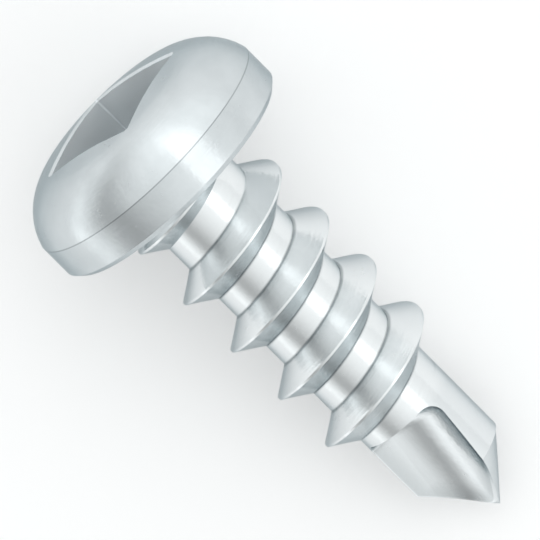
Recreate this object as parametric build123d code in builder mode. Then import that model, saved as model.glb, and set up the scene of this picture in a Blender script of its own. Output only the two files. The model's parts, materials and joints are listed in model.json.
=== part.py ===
from build123d import *

import os
from math import atan, ceil, cos, degrees, radians, sin, sqrt, tan

# Self drilling screw: pan head with a square drive recess, a coarse right-hand thread that is
# sharp and widely spaced, and a two-flute drill point. One piece of cold-headed, thread-rolled
# and point-forged steel, zinc plated. All sizes are in millimetres.
# The screw is modelled upright, with its axis on Z, its bearing face at z = 0, its head above
# and its point below. It is then laid down as it comes to rest on a flat surface.

# Head
head_diameter = 9.5
head_height = 3.25
side_height = 1.38
shoulder_radius = 2.2
shoulder_crease = 15.0
bearing_edge_chamfer = 0.2
bearing_clearance = 0.03

# Square recess
recess_across_flats = 4.15
recess_depth = 1.9
recess_draft = 2.0
recess_corner_radius = 0.12
recess_floor_slope = 15.0
recess_edge_break = 0.08

# Shank and point
length = 16.0
root_diameter = 3.6
point_angle = 80.0
point_relief = 0.2
relief_direction = 10.0

# Thread
thread_diameter = 5.5
thread_pitch = 2.31
thread_angle = 69.0
crest_width = 0.08
thread_start = 0.1
thread_length = 11.4
thread_end_direction = 26.0
head_fade_length = 1.7
head_fade_depth = 0.45
run_out_length = 0.9
run_out_margin = 0.03
thread_embed = 0.15

# Rest: the side of the screw that lies down, as a direction about its axis
rest_direction = 79.4

# Flutes
flute_length = 4.7
flute_corner_radius = 1.9
flute_end_radius = 0.6
lip_wall_at_start = 0.97
lip_wall_at_tip = 0.38
floor_at_start = 0.17
floor_at_tip = -0.45

head_radius = head_diameter / 2
root_radius = root_diameter / 2
crest_radius = thread_diameter / 2
thread_height = crest_radius - root_radius
half_point = radians(point_angle / 2)

# Head: turned profile of crown, shoulder, straight side, bearing face and neck fillet. The
# shoulder meets the side in a crease, where the punch that forms the crown meets the die.
bearing_inner_radius = crest_radius + bearing_clearance
neck_radius = bearing_inner_radius - root_radius
shoulder_centre = (
    head_radius - shoulder_radius * cos(radians(shoulder_crease)),
    side_height - shoulder_radius * sin(radians(shoulder_crease)),
)
crown_rise = head_height - shoulder_centre[1]
crown_radius = (shoulder_centre[0] ** 2 + crown_rise**2 - shoulder_radius**2) / (
    2 * (crown_rise - shoulder_radius)
)
shoulder_start = atan(shoulder_centre[0] / (crown_radius - crown_rise))
shoulder_top = (
    shoulder_centre[0] + shoulder_radius * sin(shoulder_start),
    shoulder_centre[1] + shoulder_radius * cos(shoulder_start),
)

with BuildPart() as head:
    with BuildSketch(Plane.XZ):
        with BuildLine():
            Line((0, -neck_radius), (0, head_height))
            RadiusArc((0, head_height), shoulder_top, crown_radius)
            RadiusArc(shoulder_top, (head_radius, side_height), shoulder_radius)
            Line((head_radius, side_height), (head_radius, bearing_edge_chamfer))
            Line((head_radius, bearing_edge_chamfer), (head_radius - bearing_edge_chamfer, 0))
            Line((head_radius - bearing_edge_chamfer, 0), (bearing_inner_radius, 0))
            RadiusArc((bearing_inner_radius, 0), (root_radius, -neck_radius), -neck_radius)
            Line((root_radius, -neck_radius), (0, -neck_radius))
        make_face()
    revolve(axis=Axis.Z)

# Thread: one tooth profile carried up a helix from z = 0, whose crest rises out of the shank
# at its lower end and eases down again below the head
tooth_half_base = crest_width / 2 + (thread_height + thread_embed) * tan(radians(thread_angle / 2))
crest_stages = [
    (0, thread_height + run_out_margin),
    (run_out_length, 0),
    (thread_length - head_fade_length, 0),
    (thread_length, head_fade_depth),
]


def across_helix(helix, height):
    """The plane square to the helix at this height, with its x direction away from the axis."""
    share = height / thread_length
    point = helix @ share
    return Plane(origin=point, x_dir=Vector(point.X, point.Y, 0), z_dir=helix % share)


with BuildPart() as thread:
    with BuildLine() as thread_line:
        Helix(thread_pitch, thread_length, root_radius)
    helix = thread_line.edge()
    for (low, low_sink), (high, high_sink) in zip(crest_stages, crest_stages[1:]):
        for height, sink in ((low, low_sink), (high, high_sink)):
            with BuildSketch(across_helix(helix, height)):
                with BuildLine():
                    Polyline(
                        (-thread_embed - sink, -tooth_half_base),
                        (thread_height - sink, -crest_width / 2),
                        (thread_height - sink, crest_width / 2),
                        (-thread_embed - sink, tooth_half_base),
                        close=True,
                    )
                make_face()
        stage_path = helix.trim(low / thread_length, high / thread_length)
        sweep(path=stage_path, multisection=True, is_frenet=True)

# Flute: a round-bottomed groove that leans across the point and ends in a rounded run-out
flute_start = Vector(lip_wall_at_start, -floor_at_start, flute_length - length)
flute_tip = Vector(lip_wall_at_tip, -floor_at_tip, -length)

with BuildPart() as flute:
    with BuildSketch(Plane(flute_start)) as flute_section:
        Rectangle(2 * root_diameter, 2 * root_diameter, align=(Align.MAX, Align.MAX))
        inner_corner = flute_section.vertices().sort_by_distance(flute_start)[0]
        fillet(inner_corner, flute_corner_radius)
    extrude(amount=flute_length + root_diameter, dir=flute_tip - flute_start)
    fillet(flute.faces().sort_by(Axis.Z)[-1].edges(), flute_end_radius)

# Shank: a plain rod with its point ground by two cones set off the axis, one for each cutting
# lip, so that the point falls away behind its lips, and with two flutes
apex_drop = point_relief / tan(half_point)
cone_height = 2 * length

with BuildPart() as shank:
    with BuildSketch():
        Circle(root_radius)
    extrude(amount=-length)
    for side in (1, -1):
        offset_x = side * point_relief * cos(radians(relief_direction))
        offset_y = side * point_relief * sin(radians(relief_direction))
        with Locations((offset_x, offset_y, -length - apex_drop)):
            Cone(
                0,
                cone_height * tan(half_point),
                cone_height,
                align=(Align.CENTER, Align.CENTER, Align.MIN),
                mode=Mode.INTERSECT,
            )
    with PolarLocations(0, 2):
        add(flute.part, mode=Mode.SUBTRACT)

# The whole screw, upright
thread_direction = radians(thread_end_direction)
thread_place = Plane(
    origin=(0, 0, thread_start - thread_length),
    x_dir=(cos(thread_direction), sin(thread_direction), 0),
)

recess_floor_radius = recess_across_flats / 2 - recess_depth * tan(radians(recess_draft))
recess_floor_depth = recess_floor_radius * tan(radians(recess_floor_slope))
recess_reach = recess_across_flats / sqrt(2)
height_at_reach = head_height - crown_radius + sqrt(crown_radius**2 - recess_reach**2)

with BuildPart() as upright:
    add(shank.part)
    with Locations(thread_place):
        add(thread.part)
    add(head.part)
    with BuildSketch(Plane.XY.offset(head_height)) as recess_mouth:
        Rectangle(recess_across_flats, recess_across_flats, rotation=45)
        fillet(recess_mouth.vertices(), recess_corner_radius)
    extrude(amount=-recess_depth, taper=recess_draft, mode=Mode.SUBTRACT)
    with Locations((0, 0, head_height - recess_depth)):
        Cone(
            0,
            recess_floor_radius,
            recess_floor_depth,
            align=(Align.CENTER, Align.CENTER, Align.MAX),
            mode=Mode.SUBTRACT,
        )
    recess_edges = upright.edges().filter_by(lambda edge: edge.center().Z > height_at_reach)
    chamfer(recess_edges, recess_edge_break)

# Lying at rest: the edge of the head and the lowest full crest on the underside touch the
# surface, so the point dips towards it. Heights along the thread count from its lower end.
underside = thread_pitch * ((rest_direction - thread_end_direction) % 360) / 360
turns_past_run_out = max(0, ceil((run_out_length - underside) / thread_pitch))
crest_height = underside + turns_past_run_out * thread_pitch
crest_centre_below = thread_length - thread_start - crest_height
crest_below_edge = crest_centre_below + crest_width / 2 + bearing_edge_chamfer
dip = degrees(atan((head_radius - crest_radius) / crest_below_edge))


def lying_plane(dip, roll, origin):
    """Where the upright screw's own plane goes when it lies with its head towards -X."""
    across = Vector(-sin(radians(dip)), 0, -cos(radians(dip)))
    return Plane(
        origin=origin,
        x_dir=across * cos(radians(roll)) + Vector(0, sin(radians(roll)), 0),
        z_dir=(-cos(radians(dip)), 0, sin(radians(dip))),
    )


lying_box = upright.part.moved(lying_plane(dip, rest_direction, (0, 0, 0)).location).bounding_box()
rest_origin = (-lying_box.center().X, -lying_box.center().Y, -lying_box.min.Z)

with BuildPart(lying_plane(dip, rest_direction, rest_origin)) as screw:
    add(upright.part)

screw.part.label = "screw"
os.makedirs("parts", exist_ok=True)
export_step(screw.part, "parts/screw.step")
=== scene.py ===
import json
import math

import bpy
from mathutils import Matrix, Vector

# Self drilling screw, zinc plated, lying on a pale floor in a softly lit room. The camera looks
# down on it with its head at the upper left. Lengths in the scene are in metres and angles in
# degrees. Lengths in the steel's finish are in millimetres, in the screw's own axes: z runs along
# its axis from 0 at the bearing face, with the head above and the point below.

MM = 0.001

# Camera, as in the photograph
PHOTO_WIDTH = 18.02 * MM
VIEW_TILT = 14.5
VIEW_ROLL = 10.6
CENTRE_ALONG_AXIS = 4.646 * MM
CENTRE_ACROSS_AXIS = 0.083 * MM
LENS = 1000.0
SENSOR = 36.0
CLIP_START = 0.01
CLIP_END = 5

# Sizes of the screw that its finish follows
HEAD_HEIGHT = 3.25
HEAD_RADIUS = 4.75
CROWN_RADIUS = 16.7
CREASE_Z = 1.38
RECESS_REACH = 2.95
RECESS_BOTTOM_Z = 0.8
RECESS_FLOOR_Z = 1.35
THREAD_PITCH = 2.31
THREAD_END_Z = -11.3
THREAD_END_ANGLE = 126.6
TOOTH_PHASE = THREAD_END_Z / THREAD_PITCH - THREAD_END_ANGLE / 360
TOOTH_HALF_BASE = 0.69
CREST_RADIUS = 2.75
ROOT_RADIUS = 1.8
TIP_Z = -16.0
POINT_ANGLE = 80.0
POINT_SLOPE = math.tan(math.radians(POINT_ANGLE / 2))

# Zones of the finish. Each pair is where a zone starts and where it is full, as a height along
# the axis, a radius, or a distance from the named place.
HEAD_START = (-0.02, 0.02)
THREAD_LOW_END = (THREAD_END_Z - 0.3, THREAD_END_Z + 0.3)
THREAD_HIGH_END = (0.0, -0.3)
CREST_START = (CREST_RADIUS - 0.16, CREST_RADIUS - 0.04)
RECESS_LOW_END = (RECESS_BOTTOM_Z - 0.1, RECESS_BOTTOM_Z)
RECESS_SIDE = (RECESS_REACH + 0.05, RECESS_REACH)
RECESS_BELOW_CROWN = (0.075, 0.1)
RECESS_WALL_START = (RECESS_FLOOR_Z + 0.01, RECESS_FLOOR_Z + 0.05)
# Painted shade: a dark line along the thread's root corners.
ROOT_CORNER_WIDTH = (0.1, 0.01)
ROOT_CORNER_SIDE = (ROOT_RADIUS + 0.12, ROOT_RADIUS + 0.02)
ROOT_CORNER_LOW_END = (THREAD_END_Z + 0.3, THREAD_END_Z + 0.7)
ROOT_CORNER_HIGH_END = (-1.7, -2.3)
# Painted shade: a thin dark line just below the head's crease.
CREASE_SHADE_Z = CREASE_Z - 0.02
CREASE_SHADE_WIDTH = (0.035, 0.01)
CREASE_SHADE_SIDE = (HEAD_RADIUS - 0.15, HEAD_RADIUS - 0.05)
# Painted shade darkens the flutes towards their rims.
FLUTE_START = (0.01, 0.06)
FLUTE_RIM = (0.95, 0.1)

# Tones of the zinc, with painted light and painted shade, and how much of each shows in its zone.
# The pale tone turns into the deep one over the range of the cloud noise in TONE_CLOUDS.
PALE_ZINC = (0.665, 0.7, 0.715, 1)
DEEP_ZINC = (0.62, 0.655, 0.67, 1)
TONE_CLOUDS = (0.3, 0.7)
# Painted light: the recess's walls are lifted to a paler tone that offsets their shade.
RECESS_WALL_PAINTED_LIGHT = (0.83, 0.85, 0.86, 1)
RECESS_WALL_LIGHT_SHARE = 0.8
SHANK_ZINC = (0.81, 0.835, 0.845, 1)
SHANK_SHARE = 0.8
ROLLED_ZINC = (0.9, 0.92, 0.925, 1)
ROLLED_SHARE = 0.45
# Painted shade for the flutes' outer parts.
FLUTE_RIM_PAINTED_SHADE = (0.5, 0.53, 0.54, 1)
FLUTE_RIM_SHADE_SHARE = 0.6
# Painted shade, for the dark lines in the thread's root corners and along the head's crease.
PAINTED_SHADE_LINE = (0.33, 0.36, 0.37, 1)
ROOT_CORNER_SHADE_SHARE = 0.8
CREASE_SHADE_SHARE = 0.75
GRAZING_TINT = (0.5, 0.55, 0.57, 1)

# Gloss of the zinc. The low roughness turns into the high one over the range in GLOSS_CLOUDS,
# and the highlights are drawn out along the screw.
LOW_ROUGHNESS = 0.2
HIGH_ROUGHNESS = 0.25
GLOSS_CLOUDS = (0.25, 0.75)
GRAIN_ROUGHNESS = 0.2
RECESS_ROUGHNESS = 0.08
CREST_POLISH = 0.06
ANISOTROPY = 0.75
ANISOTROPY_TURN = 0.25

# Texture of the zinc: sizes of its noises, and depths of its grain and marks
NOISE_DETAIL = 3
CLOUD_SCALE = 0.9
GRAIN_SCALE = 7.0
RINGS_PER_MM = 30
RING_SCALE = 1.0
ROLLING_SCALE = 1.6
ROLLING_ACROSS = 6
ROLLING_AROUND = 0.5
SOFT_NOISE = 0.5
ROUGH_NOISE = 0.6
GRAIN_DEPTH = 0.004 * MM
MARK_DEPTH = 0.008 * MM

# Floor, and the light of its own with which it reads as white
FLOOR_HALF = 0.6
FLOOR_COLOUR = (0.8, 0.8, 0.8, 1)
FLOOR_LIGHT = (1, 1, 1, 1)
FLOOR_LIFT = 0.18

# Lamp, in degrees from the viewer's direction off the screw's axis and down it
LAMP_OFF = 26
LAMP_DOWN = 10
LAMP_DISTANCE = 0.12
LAMP_LENGTH = 0.4
LAMP_WIDTH = 0.055
LAMP_WATTS = 0.028

# Light of the room, as degrees off the viewer about the screw's axis and the level there. The
# levels are kept as shares of ROOM_STRENGTH, which also changes from the head's side of the
# room to the point's. ROOM_FADE is where it does, as a cosine from the point's direction.
ROOM_BANDS = [
    (-180, 1.0),
    (-125, 1.1),
    (-100, 1.55),
    (-82, 0.95),
    (-64, 0.36),
    (-42, 0.75),
    (-10, 1.15),
    (24, 1.25),
    (55, 1.2),
    (90, 0.95),
    (130, 0.8),
    (180, 1.0),
]
ROOM_STRENGTH = 1.5
ROOM_TINT = (0.98, 1.0, 1.0)
ROOM_FADE = (-0.4, 0.35)
ROOM_LEVEL_AT_HEAD = 1.08
ROOM_LEVEL_AT_POINT = 0.88

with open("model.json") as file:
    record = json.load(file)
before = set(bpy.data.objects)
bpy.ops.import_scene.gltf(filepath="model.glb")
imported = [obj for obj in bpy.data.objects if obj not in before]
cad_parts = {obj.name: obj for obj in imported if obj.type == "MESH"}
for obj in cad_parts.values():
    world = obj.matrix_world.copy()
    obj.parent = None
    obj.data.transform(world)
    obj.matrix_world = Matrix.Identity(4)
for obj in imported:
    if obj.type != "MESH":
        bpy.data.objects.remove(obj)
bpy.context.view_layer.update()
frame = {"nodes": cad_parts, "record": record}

mounts = {mount["name"]: mount for mount in frame["record"]["mounts"]}
bearing_centre = Vector(mounts["thread"]["pos_m"])
to_point = Vector(mounts["thread"]["axis"]).normalized()
level_across = Vector((0, 1, 0))
above = to_point.cross(level_across).normalized()


def viewing_directions():
    """The viewer's direction, and the photograph's directions down and off the screw's axis."""
    roll, tilt = math.radians(VIEW_ROLL), math.radians(VIEW_TILT)
    square_on = above * math.cos(roll) + level_across * math.sin(roll)
    viewer = square_on * math.cos(tilt) - to_point * math.sin(tilt)
    down_axis = (to_point - viewer * to_point.dot(viewer)).normalized()
    return viewer, down_axis, viewer.cross(down_axis)


to_viewer, down_axis, off_axis = viewing_directions()
image_centre = bearing_centre + to_point * CENTRE_ALONG_AXIS + off_axis * CENTRE_ACROSS_AXIS


def add_object(name, data, place, x_axis, z_axis):
    """Adds a camera or a lamp at this place, with its own x and z along these directions."""
    added = bpy.data.objects.new(name, data)
    bpy.context.collection.objects.link(added)
    added.location = place
    added.rotation_mode = "QUATERNION"
    axes = Matrix((x_axis, z_axis.cross(x_axis), z_axis)).transposed()
    added.rotation_quaternion = axes.to_quaternion()
    return added


def add_camera():
    """A camera with a very long lens, so that the view is almost parallel. The screw's axis runs
    from the photograph's upper left to its lower right."""
    data = bpy.data.cameras.new("camera")
    data.lens = LENS
    data.sensor_width = SENSOR
    data.clip_start = CLIP_START
    data.clip_end = CLIP_END
    place = image_centre + to_viewer * PHOTO_WIDTH * LENS / SENSOR
    right = (down_axis + off_axis).normalized()
    bpy.context.scene.camera = add_object("camera", data, place, right, to_viewer)


class Nodes:
    """Short ways to add and link the nodes of one material or of the world."""

    def __init__(self, owner):
        self.tree = owner.node_tree
        self.shader = self.tree.nodes.get("Principled BSDF")

    def put(self, socket, value):
        """Links an output to an input, or sets the input to a number, vector or colour."""
        if isinstance(value, bpy.types.NodeSocket):
            self.tree.links.new(value, socket)
        else:
            socket.default_value = value

    def put_all(self, **values):
        """Links or sets the shader's inputs, with an underscore for each space in a name."""
        for name, value in values.items():
            self.put(self.shader.inputs[name.replace("_", " ")], value)

    def calculate(self, operation, *values):
        node = self.tree.nodes.new("ShaderNodeMath")
        node.operation = operation
        for socket, value in zip(node.inputs, values):
            self.put(socket, value)
        return node.outputs["Value"]

    def total(self, first, second):
        return self.calculate("ADD", first, second)

    def difference(self, first, second):
        return self.calculate("SUBTRACT", first, second)

    def quotient(self, first, second):
        return self.calculate("DIVIDE", first, second)

    def product(self, first, *others):
        """All the values multiplied."""
        for other in others:
            first = self.calculate("MULTIPLY", first, other)
        return first

    def distance(self, first, second):
        """How far apart two numbers are."""
        return self.calculate("ABSOLUTE", self.difference(first, second))

    def outside(self, zone):
        """1 where the zone is 0, and 0 where it is full."""
        return self.difference(1.0, zone)

    def step(self, value, start, end, low=0.0, high=1.0):
        """Goes smoothly from low to high as the value goes from start to end."""
        node = self.tree.nodes.new("ShaderNodeMapRange")
        node.interpolation_type = "SMOOTHSTEP"
        for socket, number in zip(node.inputs, (value, start, end, low, high)):
            self.put(socket, number)
        return node.outputs["Result"]

    def vector(self, x, y, z):
        node = self.tree.nodes.new("ShaderNodeCombineXYZ")
        for socket, value in zip(node.inputs, (x, y, z)):
            self.put(socket, value)
        return node.outputs["Vector"]

    def vector_math(self, operation, first, second):
        node = self.tree.nodes.new("ShaderNodeVectorMath")
        node.operation = operation
        self.put(node.inputs[0], first)
        self.put(node.inputs[1], second)
        return node.outputs

    def dot(self, vector, direction):
        return self.vector_math("DOT_PRODUCT", vector, direction)["Value"]

    def noise(self, place, scale, roughness, w=None):
        """A noise over this place, and over w as its fourth direction if there is one."""
        node = self.tree.nodes.new("ShaderNodeTexNoise")
        if w is not None:
            node.noise_dimensions = "4D"
            self.put(node.inputs["W"], w)
        self.put(node.inputs["Vector"], place)
        self.put(node.inputs["Scale"], scale)
        self.put(node.inputs["Detail"], NOISE_DETAIL)
        self.put(node.inputs["Roughness"], roughness)
        return node.outputs["Fac"]

    def mix(self, share, first, second):
        """A blend of two colours."""
        node = self.tree.nodes.new("ShaderNodeMix")
        node.data_type = "RGBA"
        self.put(node.inputs["Factor"], share)
        self.put(node.inputs["A"], first)
        self.put(node.inputs["B"], second)
        return node.outputs["Result"]

    def bump(self, height, depth, normal=None):
        """A bump of this depth, on top of the normal of another one if there is one."""
        node = self.tree.nodes.new("ShaderNodeBump")
        self.put(node.inputs["Strength"], 1.0)
        self.put(node.inputs["Distance"], depth)
        self.put(node.inputs["Height"], height)
        if normal is not None:
            self.put(node.inputs["Normal"], normal)
        return node.outputs["Normal"]


def new_material(name):
    material = bpy.data.materials.new(name)
    material.use_nodes = True
    return material, Nodes(material)


class ScrewPlace:
    """Where the shaded point is on the screw: its offset from the bearing face's centre, then in
    the screw's own axes its vector, height, radius, the cosine and sine of its angle, and how far
    it is through a turn of the thread."""

    def __init__(self, nodes):
        place = nodes.tree.nodes.new("ShaderNodeTexCoord").outputs["Object"]
        self.offset = nodes.vector_math("SUBTRACT", place, bearing_centre)["Vector"]
        x = nodes.dot(self.offset, above / MM)
        y = nodes.dot(self.offset, level_across / MM)
        self.z = nodes.dot(self.offset, -to_point / MM)
        self.vector = nodes.vector(x, y, self.z)
        squares = nodes.total(nodes.product(x, x), nodes.product(y, y))
        self.radius = nodes.calculate("SQRT", squares)
        angle = nodes.calculate("ARCTAN2", y, x)
        self.cosine = nodes.calculate("COSINE", angle)
        self.sine = nodes.calculate("SINE", angle)
        turn = nodes.quotient(angle, 2 * math.pi)
        turns_up = nodes.difference(nodes.quotient(self.z, THREAD_PITCH), turn)
        self.turn_share = nodes.calculate("FRACT", turns_up)


def recess_zone(nodes, place):
    """The drive recess, below the crown's curve and above the recess's lowest point."""
    crown_drop = nodes.quotient(nodes.product(place.radius, place.radius), 2 * CROWN_RADIUS)
    below_crown = nodes.difference(nodes.difference(HEAD_HEIGHT, crown_drop), place.z)
    return nodes.product(
        nodes.step(place.z, *RECESS_LOW_END),
        nodes.step(below_crown, *RECESS_BELOW_CROWN),
        nodes.step(place.radius, *RECESS_SIDE),
    )


def root_corner_shade_zone(nodes, place):
    """The corners where the thread's flanks meet the shank, except where the thread fades, where a
    line of painted shade darkens them.
    """
    phase = nodes.calculate("FRACT", nodes.total(place.turn_share, 0.5 - TOOTH_PHASE))
    from_tooth = nodes.product(nodes.distance(phase, 0.5), THREAD_PITCH)
    return nodes.product(
        nodes.step(nodes.distance(from_tooth, TOOTH_HALF_BASE), *ROOT_CORNER_WIDTH),
        nodes.step(place.radius, *ROOT_CORNER_SIDE),
        nodes.step(place.z, *ROOT_CORNER_LOW_END),
        nodes.step(place.z, *ROOT_CORNER_HIGH_END),
    )


def flute_rim_shade_zone(nodes, place, below_head):
    """The outer part of the flutes, by its depth below the shank or the point's cone, where painted
    shade darkens them.
    """
    cone = nodes.product(nodes.difference(place.z, TIP_Z), POINT_SLOPE)
    skin = nodes.calculate("MINIMUM", cone, ROOT_RADIUS)
    depth = nodes.product(nodes.difference(skin, place.radius), below_head)
    return nodes.product(nodes.step(depth, *FLUTE_START), nodes.step(depth, *FLUTE_RIM))


def zinc_plated_steel():
    """Bright zinc over cold-headed and rolled steel: soft clouds in its tone and gloss, a fine
    grain, ring marks on the head, rolling marks along the thread and smoother crests. The shank and
    the rolled thread are brighter. Painted light lifts the recess's walls out of their shade, and
    the recess has no grain and less gloss. Painted shade darkens a thin line along the head's
    crease, the thread's root corners and the flutes' rims."""
    material, nodes = new_material("zinc_plated_steel")
    place = ScrewPlace(nodes)

    head = nodes.step(place.z, *HEAD_START)
    below_head = nodes.outside(head)
    thread = nodes.product(
        nodes.step(place.z, *THREAD_LOW_END), nodes.step(place.z, *THREAD_HIGH_END)
    )
    crest = nodes.product(nodes.step(place.radius, *CREST_START), thread)
    recess = recess_zone(nodes, place)
    recess_walls = nodes.product(recess, nodes.step(place.z, *RECESS_WALL_START))
    turned_head = nodes.product(head, nodes.outside(recess))
    # Painted shade: a thin dark line just below the head's crease.
    crease_shade = nodes.product(
        nodes.step(nodes.distance(place.z, CREASE_SHADE_Z), *CREASE_SHADE_WIDTH),
        nodes.step(place.radius, *CREASE_SHADE_SIDE),
    )

    clouds = nodes.noise(place.vector, CLOUD_SCALE, SOFT_NOISE)
    grain = nodes.difference(nodes.noise(place.vector, GRAIN_SCALE, ROUGH_NOISE), 0.5)
    grain = nodes.product(grain, nodes.outside(recess))
    rings = nodes.product(nodes.difference(place.radius, place.z), RINGS_PER_MM)
    turned = nodes.noise(nodes.vector(rings, place.cosine, place.sine), RING_SCALE, ROUGH_NOISE)
    rolled_place = nodes.vector(
        nodes.product(place.turn_share, THREAD_PITCH * ROLLING_ACROSS),
        nodes.product(place.radius, ROLLING_ACROSS),
        nodes.product(place.cosine, ROLLING_AROUND),
    )
    rolled_w = nodes.product(place.sine, ROLLING_AROUND)
    rolled = nodes.noise(rolled_place, ROLLING_SCALE, ROUGH_NOISE, rolled_w)

    tone = nodes.mix(nodes.step(clouds, *TONE_CLOUDS), PALE_ZINC, DEEP_ZINC)
    for zone, share, colour in (
        # painted light on the recess's walls
        (recess_walls, RECESS_WALL_LIGHT_SHARE, RECESS_WALL_PAINTED_LIGHT),
        (below_head, SHANK_SHARE, SHANK_ZINC),
        (thread, ROLLED_SHARE, ROLLED_ZINC),
        # painted shade on the flutes' rims
        (flute_rim_shade_zone(nodes, place, below_head), FLUTE_RIM_SHADE_SHARE, FLUTE_RIM_PAINTED_SHADE),
        # painted shade in the thread's root corners
        (root_corner_shade_zone(nodes, place), ROOT_CORNER_SHADE_SHARE, PAINTED_SHADE_LINE),
        # painted shade along the head's crease
        (crease_shade, CREASE_SHADE_SHARE, PAINTED_SHADE_LINE),
    ):
        tone = nodes.mix(nodes.product(zone, share), tone, colour)

    gloss = nodes.step(clouds, *GLOSS_CLOUDS, LOW_ROUGHNESS, HIGH_ROUGHNESS)
    gloss = nodes.total(gloss, nodes.product(grain, GRAIN_ROUGHNESS))
    gloss = nodes.total(gloss, nodes.product(recess, RECESS_ROUGHNESS))
    gloss = nodes.difference(gloss, nodes.product(crest, CREST_POLISH))

    normal = nodes.bump(grain, GRAIN_DEPTH)
    normal = nodes.bump(nodes.product(turned, turned_head), MARK_DEPTH, normal)
    normal = nodes.bump(nodes.product(rolled, thread), MARK_DEPTH, normal)

    nodes.put_all(
        Base_Color=tone,
        Metallic=1.0,
        Specular_Tint=GRAZING_TINT,
        Roughness=gloss,
        Anisotropic=ANISOTROPY,
        Anisotropic_Rotation=ANISOTROPY_TURN,
        Tangent=nodes.vector_math("CROSS_PRODUCT", to_point, place.offset)["Vector"],
        Normal=normal,
    )
    return material


def dress_screw():
    """Gives the CAD node its finish."""
    steel = zinc_plated_steel()
    for name in frame["nodes"]:
        for slot in bpy.data.objects[name].material_slots:
            slot.material = steel


def add_floor():
    """A pale floor that reads as white where the screw's soft shadow doesn't fall."""
    material, nodes = new_material("floor")
    light_path = nodes.tree.nodes.new("ShaderNodeLightPath").outputs
    seen = nodes.calculate("MAXIMUM", light_path["Is Camera Ray"], light_path["Is Glossy Ray"])
    seen = nodes.calculate("MAXIMUM", seen, light_path["Is Transmission Ray"])
    nodes.put_all(
        Base_Color=FLOOR_COLOUR,
        Roughness=1.0,
        Specular_IOR_Level=0.0,
        Emission_Color=FLOOR_LIGHT,
        Emission_Strength=nodes.product(seen, FLOOR_LIFT),
    )
    mesh = bpy.data.meshes.new("floor")
    corners = [(x * FLOOR_HALF, y * FLOOR_HALF, 0) for x, y in ((-1, -1), (1, -1), (1, 1), (-1, 1))]
    mesh.from_pydata(corners, [], [(0, 1, 2, 3)])
    mesh.materials.append(material)
    floor = bpy.data.objects.new("floor", mesh)
    bpy.context.collection.objects.link(floor)


def add_lamp():
    """One long soft lamp beside the viewer, lengthwise along the screw's axis."""
    off, down = math.radians(LAMP_OFF), math.radians(LAMP_DOWN)
    sideways = to_viewer * math.cos(off) + off_axis * math.sin(off)
    direction = sideways * math.cos(down) + down_axis * math.sin(down)
    data = bpy.data.lights.new("key", "AREA")
    data.shape = "RECTANGLE"
    data.size = LAMP_LENGTH
    data.size_y = LAMP_WIDTH
    data.energy = LAMP_WATTS
    along = (to_point - direction * to_point.dot(direction)).normalized()
    add_object("key", data, image_centre + direction * LAMP_DISTANCE, along, direction)


def add_world():
    """A room lit by long soft bands that run along the screw, with a dim band between them. It is
    a little brighter behind the head than beyond the point."""
    world = bpy.data.worlds.new("studio")
    world.use_nodes = True
    bpy.context.scene.world = world
    nodes = Nodes(world)
    room = nodes.tree.nodes["Background"]
    direction = nodes.tree.nodes.new("ShaderNodeTexCoord").outputs["Generated"]
    bands = nodes.tree.nodes.new("ShaderNodeValToRGB")
    bands.color_ramp.interpolation = "B_SPLINE"
    stops = bands.color_ramp.elements
    for index, (degrees, level) in enumerate(ROOM_BANDS):
        place = degrees / 360 + 0.5
        stop = stops[index] if index < len(stops) else stops.new(place)
        stop.position = place
        stop.color = [level / ROOM_STRENGTH * share for share in ROOM_TINT] + [1]
    off = nodes.calculate(
        "ARCTAN2", nodes.dot(direction, off_axis), nodes.dot(direction, to_viewer)
    )
    nodes.put(bands.inputs["Fac"], nodes.total(nodes.quotient(off, 2 * math.pi), 0.5))
    nodes.put(room.inputs["Color"], bands.outputs["Color"])
    strength = nodes.step(
        nodes.dot(direction, to_point),
        *ROOM_FADE,
        ROOM_LEVEL_AT_HEAD * ROOM_STRENGTH,
        ROOM_LEVEL_AT_POINT * ROOM_STRENGTH,
    )
    nodes.put(room.inputs["Strength"], strength)


add_camera()
dress_screw()
add_floor()
add_lamp()
add_world()
bpy.context.scene.view_settings.view_transform = "Standard"
